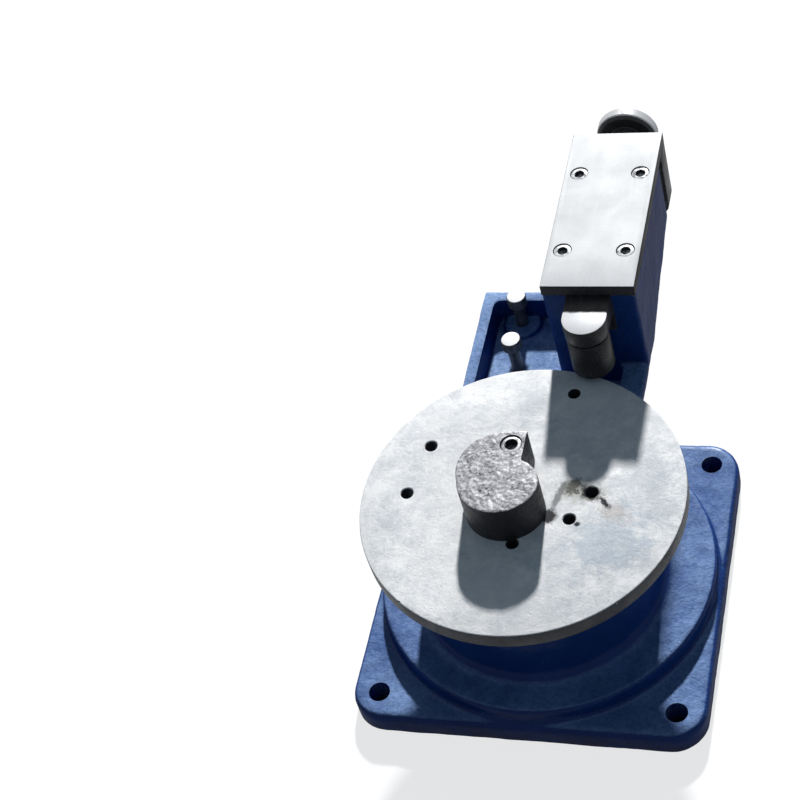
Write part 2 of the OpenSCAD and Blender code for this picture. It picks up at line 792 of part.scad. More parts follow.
module collar_screw() color("dimgray") {
    screw_l = collar_d / 2 - journal_d / 2 - 0.5;
    translate([head_x, collar_y + collar_l / 2, ram_axis_z + journal_d / 2 + 0.2]) difference() {
        cylinder(d = 6, h = screw_l);
        translate([0, 0, screw_l - 2.5]) cylinder(d = 3.4, h = 3, $fn = 6);
    }
}

module feed_knob() color("dimgray") {
    face_d = knob_d - 2 * knob_chamfer;
    taper_l = knob_l * 0.66;
    translate([head_x, 0, ram_axis_z]) difference() {
        union() {
            translate([0, knob_y, 0]) along_y()
                cylinder(d1 = face_d, d2 = knob_d, h = taper_l, $fn = 96);
            translate([0, knob_y + taper_l - e, 0]) along_y()
                cylinder(d = knob_d, h = knob_l - taper_l, $fn = 96);
            translate([0, collar_y + collar_l + end_float, 0]) along_y()
                cylinder(d = knob_neck_d, h = knob_y - collar_y - collar_l);
        }
        translate([0, collar_y, 0]) along_y() cylinder(d = knob_bore_d + 2 * thread_fit, h = knob_rear);
        translate([0, knob_y + knob_l / 2, -knob_d]) cylinder(d = 4, h = 2 * knob_d);
    }
}

module knob_pin() color("silver") {
    translate([head_x, knob_y + knob_l / 2, ram_axis_z - knob_d / 2 + 2]) cylinder(d = 4, h = knob_d - 4);
}

base_casting();
cover_plate();
cover_screws();
rear_block();
block_screws();
screw_bush();
upper_bush();
lower_bush();
thrust_race_lower();
bending_pins();
disc();
spindle();
disc_screws();
thrust_race_upper();
spindle_washer();
spindle_nut();
scroll_die();
die_screw();
die_dowel();
thrust_cage();
thrust_balls();
ram();
ram_nut();
nut_screws();
axle_pin();
axle_washers();
axle_clip();
roller();
roller_bush();
feed_screw();
thrust_collar();
collar_screw();
feed_knob();
knob_pin();
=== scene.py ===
import math
import random

import bmesh
import bpy
from mathutils import Matrix, Vector


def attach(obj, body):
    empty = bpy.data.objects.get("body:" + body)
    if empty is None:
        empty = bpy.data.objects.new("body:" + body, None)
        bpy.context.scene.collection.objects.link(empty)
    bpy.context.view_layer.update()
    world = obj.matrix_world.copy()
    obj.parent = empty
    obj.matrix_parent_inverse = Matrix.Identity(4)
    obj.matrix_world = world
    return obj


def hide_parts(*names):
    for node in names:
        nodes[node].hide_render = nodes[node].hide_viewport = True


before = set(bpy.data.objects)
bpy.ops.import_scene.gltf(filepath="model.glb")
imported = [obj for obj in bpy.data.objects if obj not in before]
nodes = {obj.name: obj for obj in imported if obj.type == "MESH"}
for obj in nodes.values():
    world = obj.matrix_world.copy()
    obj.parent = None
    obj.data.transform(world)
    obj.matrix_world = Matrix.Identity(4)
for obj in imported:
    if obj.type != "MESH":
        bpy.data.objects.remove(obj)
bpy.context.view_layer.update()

# Base casting
# The foot, pad, drum, rear arm, tray and ram housing are one grey iron casting. Its skin is rough from
# the sand and sprayed with glossy blue enamel. Only the bored and milled faces are bare iron.

MM = 0.001


def mm(x, y, z):
    return Vector((x, y, z)) * MM


def on_spindle(z):
    return mm(0, -10, z)


def deselect():
    bpy.ops.object.select_all(action="DESELECT")


def take(piece):
    deselect()
    piece.select_set(True)
    bpy.context.view_layer.objects.active = piece


def settle(piece):
    """Moves a piece's place into its mesh, so that its object sits at the origin."""
    take(piece)
    bpy.ops.object.transform_apply(location=True, rotation=True, scale=True)
    return piece


def named(name, along="Z"):
    piece = bpy.context.object
    piece.name = piece.data.name = name
    if along == "Y":
        piece.rotation_euler = (-math.pi / 2, 0, 0)
    return settle(piece)


def box_piece(name, low, high):
    deselect()
    bpy.ops.mesh.primitive_cube_add(size=1, location=(low + high) / 2, scale=high - low)
    return named(name)


def bar_piece(name, foot, radius, height, sides=64, along="Z", far_radius=None):
    """A round bar, or a cone where far_radius is given, from its foot along +Z or +Y."""
    way = Vector((0, 0, height / 2)) if along == "Z" else Vector((0, height / 2, 0))
    deselect()
    bpy.ops.mesh.primitive_cone_add(
        vertices=sides, radius1=radius, radius2=radius if far_radius is None else far_radius,
        depth=height, location=foot + way)
    return named(name, along)


def pick(piece, edges=None, faces=None):
    """Opens a piece in edit mode with the edges or faces selected that pass a test on their place."""
    take(piece)
    bpy.ops.object.mode_set(mode="EDIT")
    bpy.ops.mesh.select_mode(type="EDGE" if edges else "FACE")
    bpy.ops.mesh.select_all(action="DESELECT")
    mesh = bmesh.from_edit_mesh(piece.data)
    for part in mesh.edges if edges else mesh.faces:
        part.select_set(bool((edges or faces)(part)))
    mesh.select_flush_mode()
    bmesh.update_edit_mesh(piece.data)


def close(piece):
    bpy.ops.object.mode_set(mode="OBJECT")
    return piece


def round_off(piece, edges, width, segments=3):
    pick(piece, edges=edges)
    bpy.ops.mesh.bevel(offset=width, segments=segments, affect="EDGES")
    return close(piece)


def slice_off(piece, point, outward):
    """Cuts away all that lies outward of a plane and closes the cut."""
    pick(piece, faces=lambda face: True)
    bpy.ops.mesh.bisect(plane_co=point, plane_no=Vector(outward).normalized(), use_fill=True,
                        clear_outer=True)
    return close(piece)


def move_corners(piece, test, moved):
    """Moves the corners that pass a test on their place to where moved says."""
    pick(piece, faces=lambda face: False)
    mesh = bmesh.from_edit_mesh(piece.data)
    for corner in mesh.verts:
        if test(corner.co):
            corner.co = moved(corner.co)
    bmesh.update_edit_mesh(piece.data)
    return close(piece)


def finish_with(piece, kind, **settings):
    """Adds a modifier and applies it."""
    take(piece)
    modifier = piece.modifiers.new(kind.lower(), kind)
    for key, value in settings.items():
        setattr(modifier, key, value)
    bpy.ops.object.modifier_apply(modifier=modifier.name)
    return piece


def combine(piece, others, operation):
    for other in others:
        finish_with(piece, "BOOLEAN", operation=operation, object=other, solver="EXACT",
                    material_mode="TRANSFER")
        bpy.data.objects.remove(other)
    return piece


def cut(piece, *cutters):
    return combine(piece, cutters, "DIFFERENCE")


def weld(piece, *others):
    return combine(piece, others, "UNION")


def joined(name, pieces):
    deselect()
    for piece in pieces:
        piece.select_set(True)
    bpy.context.view_layer.objects.active = pieces[0]
    bpy.ops.object.join()
    return named(name)


def smooth(piece, degrees=30):
    take(piece)
    bpy.ops.object.shade_smooth_by_angle(angle=math.radians(degrees))
    return piece


def upright(edge):
    a, b = (v.co for v in edge.verts)
    return abs(a.z - b.z) > 0.9 * (a - b).length


def coat(piece, finish):
    piece.data.materials.clear()
    piece.data.materials.append(finish)
    return piece


def connect(tree, made, links):
    """Each link is a socket's name or number with a value or another node's output."""
    for socket, value in links:
        if isinstance(value, bpy.types.NodeSocket):
            tree.links.new(value, made.inputs[socket])
        else:
            made.inputs[socket].default_value = value
    return made


def put(tree, kind, links=(), **settings):
    """Adds a shader node with its settings and links."""
    made = tree.nodes.new("ShaderNode" + kind)
    for key, value in settings.items():
        setattr(made, key, value)
    return connect(tree, made, links)


def ramp(tree, value, low, high, out_low=0.0, out_high=1.0):
    made = put(tree, "MapRange", [("Value", value), ("From Min", low), ("From Max", high),
                                  ("To Min", out_low), ("To Max", out_high)])
    return made.outputs["Result"]


def maths(tree, operation, *values, clamp=False):
    made = put(tree, "Math", enumerate(values), operation=operation, use_clamp=clamp)
    return made.outputs[0]


def vectors(tree, operation, *values):
    return put(tree, "VectorMath", enumerate(values), operation=operation).outputs


def one_axis(tree, vector, axis):
    return put(tree, "SeparateXYZ", [("Vector", vector)]).outputs[axis]


def blend_colours(tree, share, first, second):
    return put(tree, "Mix", [(0, share), (6, first), (7, second)], data_type="RGBA").outputs[2]


def lay_over(tree, colour, mask, share, tint):
    """Lays a tint over a colour where a mask says, at a share of its strength."""
    return blend_colours(tree, maths(tree, "MULTIPLY", mask, share), colour, (*tint, 1))


def grain(tree, vector, scale, detail, roughness=0.5, distortion=0.0):
    made = put(tree, "TexNoise", [("Vector", vector), ("Scale", scale), ("Detail", detail),
                                  ("Roughness", roughness), ("Distortion", distortion)])
    return made.outputs["Fac"]


def new_group(name, inputs, outputs):
    """Starts a shader node group. Inputs hold each name with its kind and first value."""
    tree = bpy.data.node_groups.new(name, "ShaderNodeTree")
    for socket, kind, value in inputs:
        made = tree.interface.new_socket(name=socket, in_out="INPUT", socket_type="NodeSocket" + kind)
        if value is not None:
            made.default_value = value
    for socket, kind in outputs:
        tree.interface.new_socket(name=socket, in_out="OUTPUT", socket_type="NodeSocket" + kind)
    return tree, tree.nodes.new("NodeGroupInput").outputs, tree.nodes.new("NodeGroupOutput")


def use(tree, group, links):
    made = tree.nodes.new("ShaderNodeGroup")
    made.node_tree = group
    return connect(tree, made, links).outputs


def emboss(tree, surface, strength, distance, height):
    """Gives a surface relief from a map of heights."""
    bump = put(tree, "Bump", [("Strength", strength), ("Distance", distance), ("Height", height)])
    tree.links.new(bump.outputs["Normal"], surface["Normal"])


# Sand-cast skin: long lumps and fine grains, with a mask of the grains that stand proud.
cast_skin, given, out = new_group(
    "cast_skin", [("Vector", "Vector", None), ("Lumps", "Float", 90.0), ("Grains", "Float", 520.0)],
    [("Height", "Float"), ("Specks", "Float")])
lumps = grain(cast_skin, given["Vector"], given["Lumps"], 3, 0.55)
grains = grain(cast_skin, given["Vector"], given["Grains"], 3, 0.6)
cast_skin.links.new(maths(cast_skin, "MULTIPLY_ADD", grains, 0.45, lumps), out.inputs["Height"])
cast_skin.links.new(ramp(cast_skin, grains, 0.6, 0.72), out.inputs["Specks"])

# Wear that follows the edges and is broken up by patches, and painted shade in the hollows.
edge_wear, given, out = new_group(
    "edge_wear", [("Vector", "Vector", None), ("Start", "Float", 0.53), ("Width", "Float", 0.05),
                  ("Patches", "Float", 60.0)],
    [("Wear", "Float"), ("PaintedHollowShade", "Float")])
shape = put(edge_wear, "NewGeometry").outputs["Pointiness"]
patches = ramp(edge_wear, grain(edge_wear, given["Vector"], given["Patches"], 5, 0.7), 0.45, 0.62)
worn = maths(edge_wear, "SUBTRACT", shape, given["Start"])
worn = maths(edge_wear, "DIVIDE", worn, given["Width"], clamp=True)
edge_wear.links.new(maths(edge_wear, "MULTIPLY", worn, patches), out.inputs["Wear"])
edge_wear.links.new(ramp(edge_wear, shape, 0.49, 0.44), out.inputs["PaintedHollowShade"])


def material(name):
    made = bpy.data.materials.new(name)
    made.use_nodes = True
    tree = made.node_tree
    return made, tree, tree.nodes["Principled BSDF"].inputs, put(tree, "TexCoord").outputs["Object"]


def tilt(tree):
    """How far a face looks upwards. A level one has 1."""
    return one_axis(tree, put(tree, "NewGeometry").outputs["Normal"], "Z")


def facing_up(tree, place):
    """A mask of the faces that look upwards. As every mask does, it takes the tree and the place; the
    place is not used.
    """
    return ramp(tree, tilt(tree), 0.75, 0.93)


enamel, tree, surface, place = material("blue_enamel")
skin = use(tree, cast_skin, [("Vector", place), ("Lumps", 95.0), ("Grains", 560.0)])
wear = use(tree, edge_wear, [("Vector", place), ("Start", 0.535), ("Width", 0.03), ("Patches", 70.0)])
height = one_axis(tree, place, "Z")
clouds = ramp(tree, grain(tree, place, 16, 4, 0.6), 0.3, 0.7)
blue = blend_colours(tree, clouds, (0.009, 0.040, 0.185, 1), (0.017, 0.064, 0.26, 1))
# Upper faces carry a pale film that is partly dust and rubbing and partly painted sheen, where light
# glares off the glossy paint. It is strongest in the tray, where pieces are laid down and the painted
# glare is brightest.
dust_and_sheen = maths(tree, "MULTIPLY", facing_up(tree, place), ramp(tree, height, 0.04, 0.1, 0.62, 0.98))
dust_and_sheen = maths(tree, "MULTIPLY", dust_and_sheen, ramp(tree, grain(tree, place, 24, 6, 0.65), 0.34, 0.6, 0.45, 1))
dust_and_sheen = maths(tree, "MULTIPLY", dust_and_sheen, ramp(tree, grain(tree, place, 300, 4, 0.7), 0.35, 0.6, 0.6, 1))
blue = blend_colours(tree, dust_and_sheen, blue, (0.36, 0.52, 0.82, 1))
# Pale flecks on the proud grains are partly flecks in the paint and partly painted glints of light on the
# bumps.
flecks_and_glints = maths(tree, "MULTIPLY", skin["Specks"], ramp(tree, grain(tree, place, 30, 3), 0.42, 0.6))
blue = lay_over(tree, blue, flecks_and_glints, 0.4, (0.16, 0.27, 0.56))
# Painted shade darkens the hollows.
blue = lay_over(tree, blue, wear["PaintedHollowShade"], 0.6, (0.004, 0.014, 0.06))
# Grey-brown rust shows through low on the foot's sides.
low_down = ramp(tree, height, 0.017, 0.002)
rust_patches = ramp(tree, grain(tree, place, 38, 6, 0.7), 0.46, 0.66)
rust = maths(tree, "MULTIPLY", low_down, rust_patches, clamp=True)
blue = lay_over(tree, blue, rust, 0.6, (0.035, 0.017, 0.02))
chips = maths(tree, "MULTIPLY", wear["Wear"], 0.8)
blue = blend_colours(tree, chips, blue, (0.22, 0.23, 0.26, 1))
tree.links.new(blue, surface["Base Color"])
gloss = ramp(tree, grain(tree, place, 45, 3), 0.35, 0.7, 0.34, 0.5)
bare = maths(tree, "MULTIPLY", maths(tree, "MAXIMUM", rust, chips), 0.6)
tree.links.new(maths(tree, "MAXIMUM", gloss, bare), surface["Roughness"])
surface["Specular IOR Level"].default_value = 0.0
surface["Coat Weight"].default_value = 0.15
surface["Coat Roughness"].default_value = 0.26
emboss(tree, surface, 0.9, 0.0014, skin["Height"])

bare_iron, tree, surface, place = material("bare_iron")
stains = ramp(tree, grain(tree, place, 60, 6, 0.7), 0.35, 0.65)
grey = blend_colours(tree, stains, (0.24, 0.24, 0.25, 1), (0.09, 0.085, 0.085, 1))
tree.links.new(grey, surface["Base Color"])
tree.links.new(ramp(tree, stains, 0, 1, 0.35, 0.6), surface["Roughness"])
surface["Metallic"].default_value = 0.6
emboss(tree, surface, 0.3, 0.0003, grain(tree, place, 900, 3))


# The arm's sides, the housing's left side and its ends, and the level of its top.
arm_side = 74.5
housing_side, housing_front, housing_rear, housing_top = 0.5, 141, 284, 198


def arm_length(name, left, front, rear, top, lift):
    """A length of the arm. Its sides lean in below, and its underside rises by lift to its rear end."""
    piece = box_piece(name, mm(left, front, 76), mm(arm_side, rear, 250))
    slice_off(piece, mm(arm_side, 0, 113), (37, 0, -19))
    slice_off(piece, mm(-arm_side, 0, 90), (-14, 0, -13))
    move_corners(piece, lambda co: co.y > (rear - 0.1) * MM and co.z < 114 * MM,
                 lambda co: (co.x, co.y, co.z + lift * MM))
    return slice_off(piece, mm(0, 0, top), (0, 0, 1))


foot = box_piece("foot", mm(-139.6, -139.6, -3), mm(139.6, 139.6, 20))
round_off(foot, upright, 28 * MM, 12)
round_off(foot, lambda edge: min(v.co.z for v in edge.verts) > 19 * MM, 6 * MM, 6)
pad = bar_piece("pad", mm(0, 0, 10), 134.6 * MM, 25 * MM, 160)
round_off(pad, lambda edge: min(v.co.z for v in edge.verts) > 34 * MM, 2.5 * MM)
fillet = bar_piece("fillet", on_spindle(30), 107 * MM, 17 * MM, 128)
deselect()
bpy.ops.mesh.primitive_torus_add(major_radius=107 * MM, minor_radius=12 * MM, major_segments=128,
                                 minor_segments=48, location=on_spindle(47))
cut(fillet, named("fillet_groove"))
drum = bar_piece("drum", on_spindle(30), 95 * MM, 90 * MM, 160)
web = box_piece("web", mm(-10, 79, 47), mm(10, 185, 82))
move_corners(web, lambda co: co.z < 50 * MM and co.y > 100 * MM, lambda co: (co.x, 91 * MM, co.z))

parked_pins = [(-42, 198.5), (-38, 151)]
tray = arm_length("tray", -arm_side, 40, 170, 120, 0)
tray_end = arm_length("tray_end", -arm_side, 170, 217, 120, 12.2)
hollow = box_piece("hollow", mm(-64.5, 94, 98), mm(0.5, 207, 130))
round_off(hollow, upright, 8 * MM)
cut(hollow, bar_piece("boss", mm(*parked_pins[0], 90), 15.5 * MM, 12 * MM))
hollow_front = box_piece("hollow_front", mm(-15.5, 94, 98), mm(54, housing_front, 130))
round_off(hollow_front, upright, 8 * MM)
weld(tray, tray_end)
cut(tray, hollow, hollow_front)
housing = weld(arm_length("housing", housing_side, housing_front, 170, 201, 0),
               arm_length("housing_rear", housing_side, 170, housing_rear, 201, 29.5))
casting = joined("base_casting_detail", [foot, pad, fillet, drum, web, tray, housing])

finish_with(casting, "REMESH", mode="VOXEL", voxel_size=1.9 * MM)
finish_with(casting, "SMOOTH", factor=0.5, iterations=5)
for size, depth in ((0.034, 0.0013), (0.009, 0.0005)):
    sand = bpy.data.textures.new("sand", "CLOUDS")
    sand.noise_scale = size
    sand.noise_depth = 2
    finish_with(casting, "DISPLACE", texture=sand, texture_coords="LOCAL", strength=depth, mid_level=0.6)
coat(casting, enamel)

underside = bar_piece("underside", on_spindle(-5), 83 * MM, 109 * MM, 128)
cut(underside, bar_piece("hub", on_spindle(46), 46 * MM, 80 * MM, 96))
for turn in (45, 135, 225, 315):
    rib = box_piece("rib", mm(41, -5, 10), mm(100, 5, 120))
    rib.rotation_euler.z = math.radians(turn)
    rib.location = on_spindle(0)
    cut(underside, settle(rib))
weld(underside, bar_piece("hub_bore", on_spindle(45), 24 * MM, 90 * MM, 96),
     bar_piece("race_seat", on_spindle(100), 33.1 * MM, 30 * MM, 96),
     bar_piece("flange_room", on_spindle(112), 41 * MM, 20 * MM, 96))
milled = box_piece("ram_channel", mm(19.9, 130, 159.8), mm(55.1, 300, 230))
weld(milled, box_piece("housing_top", mm(-20, 130, housing_top - 0.05), mm(90, 300, 230)))
cover_bolts = [(x, y) for x in (12.5, 62.5) for y in (180, 266)]
block_bolts = [(x, z) for x in (9.5, 65.5) for z in (146.9, 186.9)]
drilled = [bar_piece("cover_hole", mm(x, y, 174), 4.1 * MM, 26 * MM, 32) for x, y in cover_bolts]
drilled += [bar_piece("block_hole", mm(x, 273, z), 3.1 * MM, 20 * MM, 24, "Y") for x, z in block_bolts]
drilled += [bar_piece("pin_seat", mm(x, y, 85), 5.1 * MM, 40 * MM, 32) for x, y in parked_pins]
# The foot's four bolt holes stand this far from the middle, along X and along Y.
bolt_reach = 117
bolts = [bar_piece("bolt_hole", mm(x, y, -5), 8.5 * MM, 40 * MM, 48)
         for x in (-bolt_reach, bolt_reach) for y in (-bolt_reach, bolt_reach)]
for cutter in (underside, milled, *drilled):
    coat(cutter, bare_iron)
for cutter in bolts:
    coat(cutter, enamel)
bottom = coat(box_piece("bottom", mm(-160, -160, -20), mm(160, 160, 0)), bare_iron)
rear = coat(box_piece("rear_face", mm(-20, housing_rear, 40), mm(100, 300, 230)), bare_iron)
cut(casting, bottom, joined("holes", [underside, *drilled, *bolts]), milled)
cut(casting, rear)
smooth(casting, 40)
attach(casting, "frame")
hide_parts("base_casting")

# Bushes and thrust races
# Bronze bushes carry the spindle and the feed screw. Two ground steel races with ball grooves carry the
# turntable's weight. All are pressed or dropped into bored seats.

# Fine scratches in three directions, in patches.
scratches, given, out = new_group(
    "scratches", [("Vector", "Vector", None), ("Fineness", "Float", 700.0), ("Share", "Float", 0.5)],
    [("Marks", "Float")])
found = None
for turn in (0.4, 1.3, 2.5):
    lines = put(scratches, "Mapping", [("Vector", given["Vector"]), ("Rotation", (0, 0, turn)),
                                       ("Location", (turn, 0, 0)), ("Scale", (1, 0.03, 1))])
    line = ramp(scratches, grain(scratches, lines.outputs[0], given["Fineness"], 1, 0.3), 0.64, 0.72)
    found = line if found is None else maths(scratches, "MAXIMUM", found, line)
where = ramp(scratches, grain(scratches, given["Vector"], 30, 3), 0.4, 0.6)
found = maths(scratches, "MULTIPLY", found, where)
scratches.links.new(maths(scratches, "MULTIPLY", found, given["Share"]), out.inputs["Marks"])

# Turning marks round an axis through Centre. Flat leaves out the direction of that axis.
turning, given, out = new_group(
    "turning", [("Vector", "Vector", None), ("Centre", "Vector", (0, 0, 0)),
                ("Flat", "Vector", (1, 1, 0)), ("Fineness", "Float", 900.0)],
    [("Rings", "Float")])
across = vectors(turning, "SUBTRACT", given["Vector"], given["Centre"])[0]
across = vectors(turning, "MULTIPLY", across, given["Flat"])[0]
reach = vectors(turning, "LENGTH", across)["Value"]
rings = put(turning, "TexNoise", [("W", reach), ("Scale", given["Fineness"]), ("Detail", 3),
                                  ("Roughness", 0.7)], noise_dimensions="1D").outputs["Fac"]
turning.links.new(rings, out.inputs["Rings"])


def metal(name, pale, dark, shine, dull, spots=40.0, marks=0.4, axis=None, metallic=0.8, rubbed_and_lit=None,
          where=facing_up, wear=0.7):
    """Bare metal that goes from pale and shiny to dark and dull in spots. Axis holds the centre and the
    flat directions of a turned piece. Rubbed_and_lit is the colour of faces that were ground or rubbed
    bright, and of faces painted bright as lit, whose other faces then stand as painted shade; where makes
    their mask. Marks and wear say how strongly scratches and worn edges show."""
    made, tree, surface, place = material(name)
    stain = ramp(tree, grain(tree, place, spots, 6, 0.65, 0.4), 0.32, 0.7)
    lines = use(tree, scratches, [("Vector", place), ("Fineness", 700.0), ("Share", marks)])["Marks"]
    worn = use(tree, edge_wear, [("Vector", place), ("Start", 0.54), ("Width", 0.04), ("Patches", 120.0)])
    relief_map = maths(tree, "MULTIPLY_ADD", lines, -0.6, grain(tree, place, 650, 3, 0.6))
    if axis:
        rings = use(tree, turning, [("Vector", place), ("Centre", axis[0]), ("Flat", axis[1])])["Rings"]
        stain = maths(tree, "MULTIPLY_ADD", maths(tree, "SUBTRACT", rings, 0.5), 0.5, stain, clamp=True)
        relief_map = maths(tree, "ADD", relief_map, rings)
    colour = blend_colours(tree, stain, (*pale, 1), (*dark, 1))
    struck = tuple(1.25 * c + 0.08 for c in pale) + (1,)
    if rubbed_and_lit:
        bright = blend_colours(tree, stain, (*rubbed_and_lit, 1), tuple(0.88 * c for c in rubbed_and_lit) + (1,))
        shown = where(tree, place)
        colour = blend_colours(tree, shown, colour, bright)
        struck = blend_colours(tree, shown, struck, tuple(min(1, 1.06 * c) for c in rubbed_and_lit) + (1,))
    hit = maths(tree, "MAXIMUM", lines, maths(tree, "MULTIPLY", worn["Wear"], wear))
    tree.links.new(blend_colours(tree, hit, colour, struck), surface["Base Color"])
    roughness = maths(tree, "SUBTRACT", ramp(tree, stain, 0, 1, shine, dull),
                      maths(tree, "MULTIPLY", lines, 0.08))
    tree.links.new(roughness, surface["Roughness"])
    surface["Metallic"].default_value = metallic
    surface["Specular IOR Level"].default_value = 0.12
    emboss(tree, surface, 0.25, 0.0003, relief_map)
    return made


def dress(node, finish):
    """Gives a node of the frame a better material."""
    for slot in nodes[node].material_slots:
        slot.material = finish


def on_feed(y):
    return mm(37.5, y, 178.9)


# The centre and the flat directions of what is turned on the spindle, and on the feed screw.
SPINDLE = (on_spindle(0), (1, 1, 0))
FEED = (on_feed(0), (1, 0, 1))
bronze = metal("bronze", (0.62, 0.38, 0.15), (0.35, 0.19, 0.07), 0.22, 0.42, axis=SPINDLE)
race_steel = metal("race_steel", (0.62, 0.63, 0.65), (0.40, 0.41, 0.43), 0.16, 0.34, axis=SPINDLE)
for node in ("upper_bush", "lower_bush", "screw_bush", "roller_bush", "ram_nut", "thrust_cage"):
    dress(node, bronze)
for node in ("thrust_race_lower", "thrust_race_upper", "thrust_balls", "spindle_washer"):
    dress(node, race_steel)

# Spindle, its nut and the disc's screws
# The flanged spindle is turned from one bar. Four cap screws hold the disc to its flange from below, and
# a washer and a hexagon nut close the bearing from below.
TURNED_BRIGHT = ((0.56, 0.57, 0.59), (0.33, 0.33, 0.34))
BLACKENED = ((0.045, 0.045, 0.048), (0.02, 0.02, 0.022))
spindle_steel = metal("spindle_steel", *TURNED_BRIGHT, 0.2, 0.4, axis=SPINDLE)
black_oxide = metal("black_oxide", *BLACKENED, 0.3, 0.5, spots=90, metallic=0.2)
blued_steel = metal("blued_steel", *BLACKENED, 0.4, 0.55, metallic=0.08)
dress("spindle", spindle_steel)
dress("spindle_nut", blued_steel)
for node in ("disc_screws", "nut_screws", "axle_clip", "collar_screw"):
    dress(node, black_oxide)

# Turntable disc
# A turned steel disc, drilled with pin holes. Its top is rubbed bright, mottled and scratched by bars that
# were bent on it, and its rim is painted dark as shade.
disc_face = 140
disc = bar_piece("disc_detail", on_spindle(disc_face - 14), 125 * MM, 14 * MM, 192)
round_off(disc, lambda edge: not upright(edge), 0.9 * MM)
for x, y in ((-79.79, 34.78), (-89.39, -11.56), (53.7, -4.36), (40.45, -29.73), (25.16, 90.91),
             (1.22, -53.68)):
    hole = bar_piece("pin_hole", mm(x, y, 120), 5 * MM, 30 * MM, 40)
    rim = bar_piece("hole_rim", mm(x, y, 139.3), 5 * MM, 1.2 * MM, 40, far_radius=6.2 * MM)
    cut(disc, weld(hole, rim))
# Small dents along the top edge, from bars that struck it.
random.seed(5)
for _ in range(15):
    turn = random.uniform(0, 2 * math.pi)
    deselect()
    bpy.ops.mesh.primitive_ico_sphere_add(
        subdivisions=2, radius=random.uniform(0.8, 1.9) * MM,
        location=mm(125.4 * math.cos(turn), 125.4 * math.sin(turn) - 10, 140.4 - random.uniform(0, 9)))
    cut(disc, named("dent"))
smooth(disc, 35)

disc_top, tree, surface, place = material("disc_steel")
mottle = ramp(tree, grain(tree, place, 42, 10, 0.82, 0.2), 0.4, 0.6)
patches = ramp(tree, grain(tree, place, 13, 5, 0.6, 0.3), 0.42, 0.6)
freckles = ramp(tree, grain(tree, place, 260, 6, 0.8), 0.58, 0.7)
colour = blend_colours(tree, mottle, (0.92, 0.91, 0.90, 1), (0.63, 0.655, 0.68, 1))
colour = lay_over(tree, colour, patches, 0.6, (0.84, 0.835, 0.825))
colour = lay_over(tree, colour, freckles, 0.45, (0.27, 0.28, 0.30))
fine = use(tree, scratches, [("Vector", place), ("Fineness", 480.0), ("Share", 0.5)])["Marks"]
colour = lay_over(tree, colour, fine, 0.15, (0.8, 0.81, 0.82))


def smear(tree, place, centre, size, turn, fray, roughness):
    """A frayed blot on the disc. Its centre and half sizes are in mm."""
    laid = put(tree, "Mapping", [
        ("Vector", place), ("Location", mm(*centre, disc_face)), ("Rotation", (0, 0, math.radians(turn))),
        ("Scale", (size[0] * MM, size[1] * MM, 1))], vector_type="TEXTURE").outputs[0]
    reach = vectors(tree, "LENGTH", laid)["Value"]
    frayed = maths(tree, "MULTIPLY_ADD", grain(tree, place, fray, 5, 0.75), roughness,
                   maths(tree, "SUBTRACT", reach, 0.5 * roughness))
    return ramp(tree, frayed, 0.95, 0.45)


# Blue-grey stains, brown and black grime round two holes, and burnt splashes beside the die.
for centre, size, turn, fray, roughness, tint, share in [
        ((70, -48), (46, 34), 40, 60, 2.6, (0.46, 0.53, 0.60), 0.6),
        ((95, 10), (26, 42), 0, 60, 2.6, (0.52, 0.56, 0.60), 0.5),
        ((46, -4), (24, 13), 0, 150, 2.2, (0.42, 0.41, 0.35), 0.6),
        ((74, -22), (18, 10), -30, 160, 2.4, (0.50, 0.44, 0.41), 0.5),
        ((38, 0), (11, 9), 20, 260, 2.4, (0.10, 0.10, 0.085), 0.9),
        ((29, -9), (4, 18), -14, 200, 1.6, (0.20, 0.20, 0.20), 0.85),
        ((24, -28), (9, 9), 30, 200, 1.4, (0.04, 0.04, 0.045), 1.0),
        ((52, -5), (12, 8.5), -25, 260, 1.7, (0.014, 0.015, 0.018), 1.0),
        ((65, -14), (9, 3), -50, 420, 2.0, (0.03, 0.03, 0.035), 1.0),
        ((47.1, -34.1), (3.4, 2.8), 0, 500, 0.8, (0.03, 0.035, 0.05), 1.0)]:
    colour = lay_over(tree, colour, smear(tree, place, centre, size, turn, fray, roughness), share, tint)
rings = use(tree, turning, [("Vector", place), ("Centre", SPINDLE[0]), ("Flat", SPINDLE[1]),
                            ("Fineness", 420.0)])["Rings"]
tree.links.new(colour, surface["Base Color"])
tree.links.new(ramp(tree, mottle, 0, 1, 0.55, 0.66), surface["Roughness"])
surface["Metallic"].default_value = 0.06
surface["Specular IOR Level"].default_value = 0.1
relief_map = maths(tree, "ADD", freckles, maths(tree, "MULTIPLY", mottle, 2.5))
emboss(tree, surface, 0.4, 0.0003, maths(tree, "MULTIPLY_ADD", rings, 0.4, relief_map))
# The rim is painted dark as shade.
shaded_rim_steel = metal("shaded_rim_steel", (0.075, 0.077, 0.083), (0.035, 0.036, 0.04), 0.4, 0.6, spots=30,
                  metallic=0.3)
coat(disc, disc_top)
disc.data.materials.append(shaded_rim_steel)
for face in disc.data.polygons:
    if face.normal.z < 0.5:
        face.material_index = 1
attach(disc, "turntable")
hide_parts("disc")

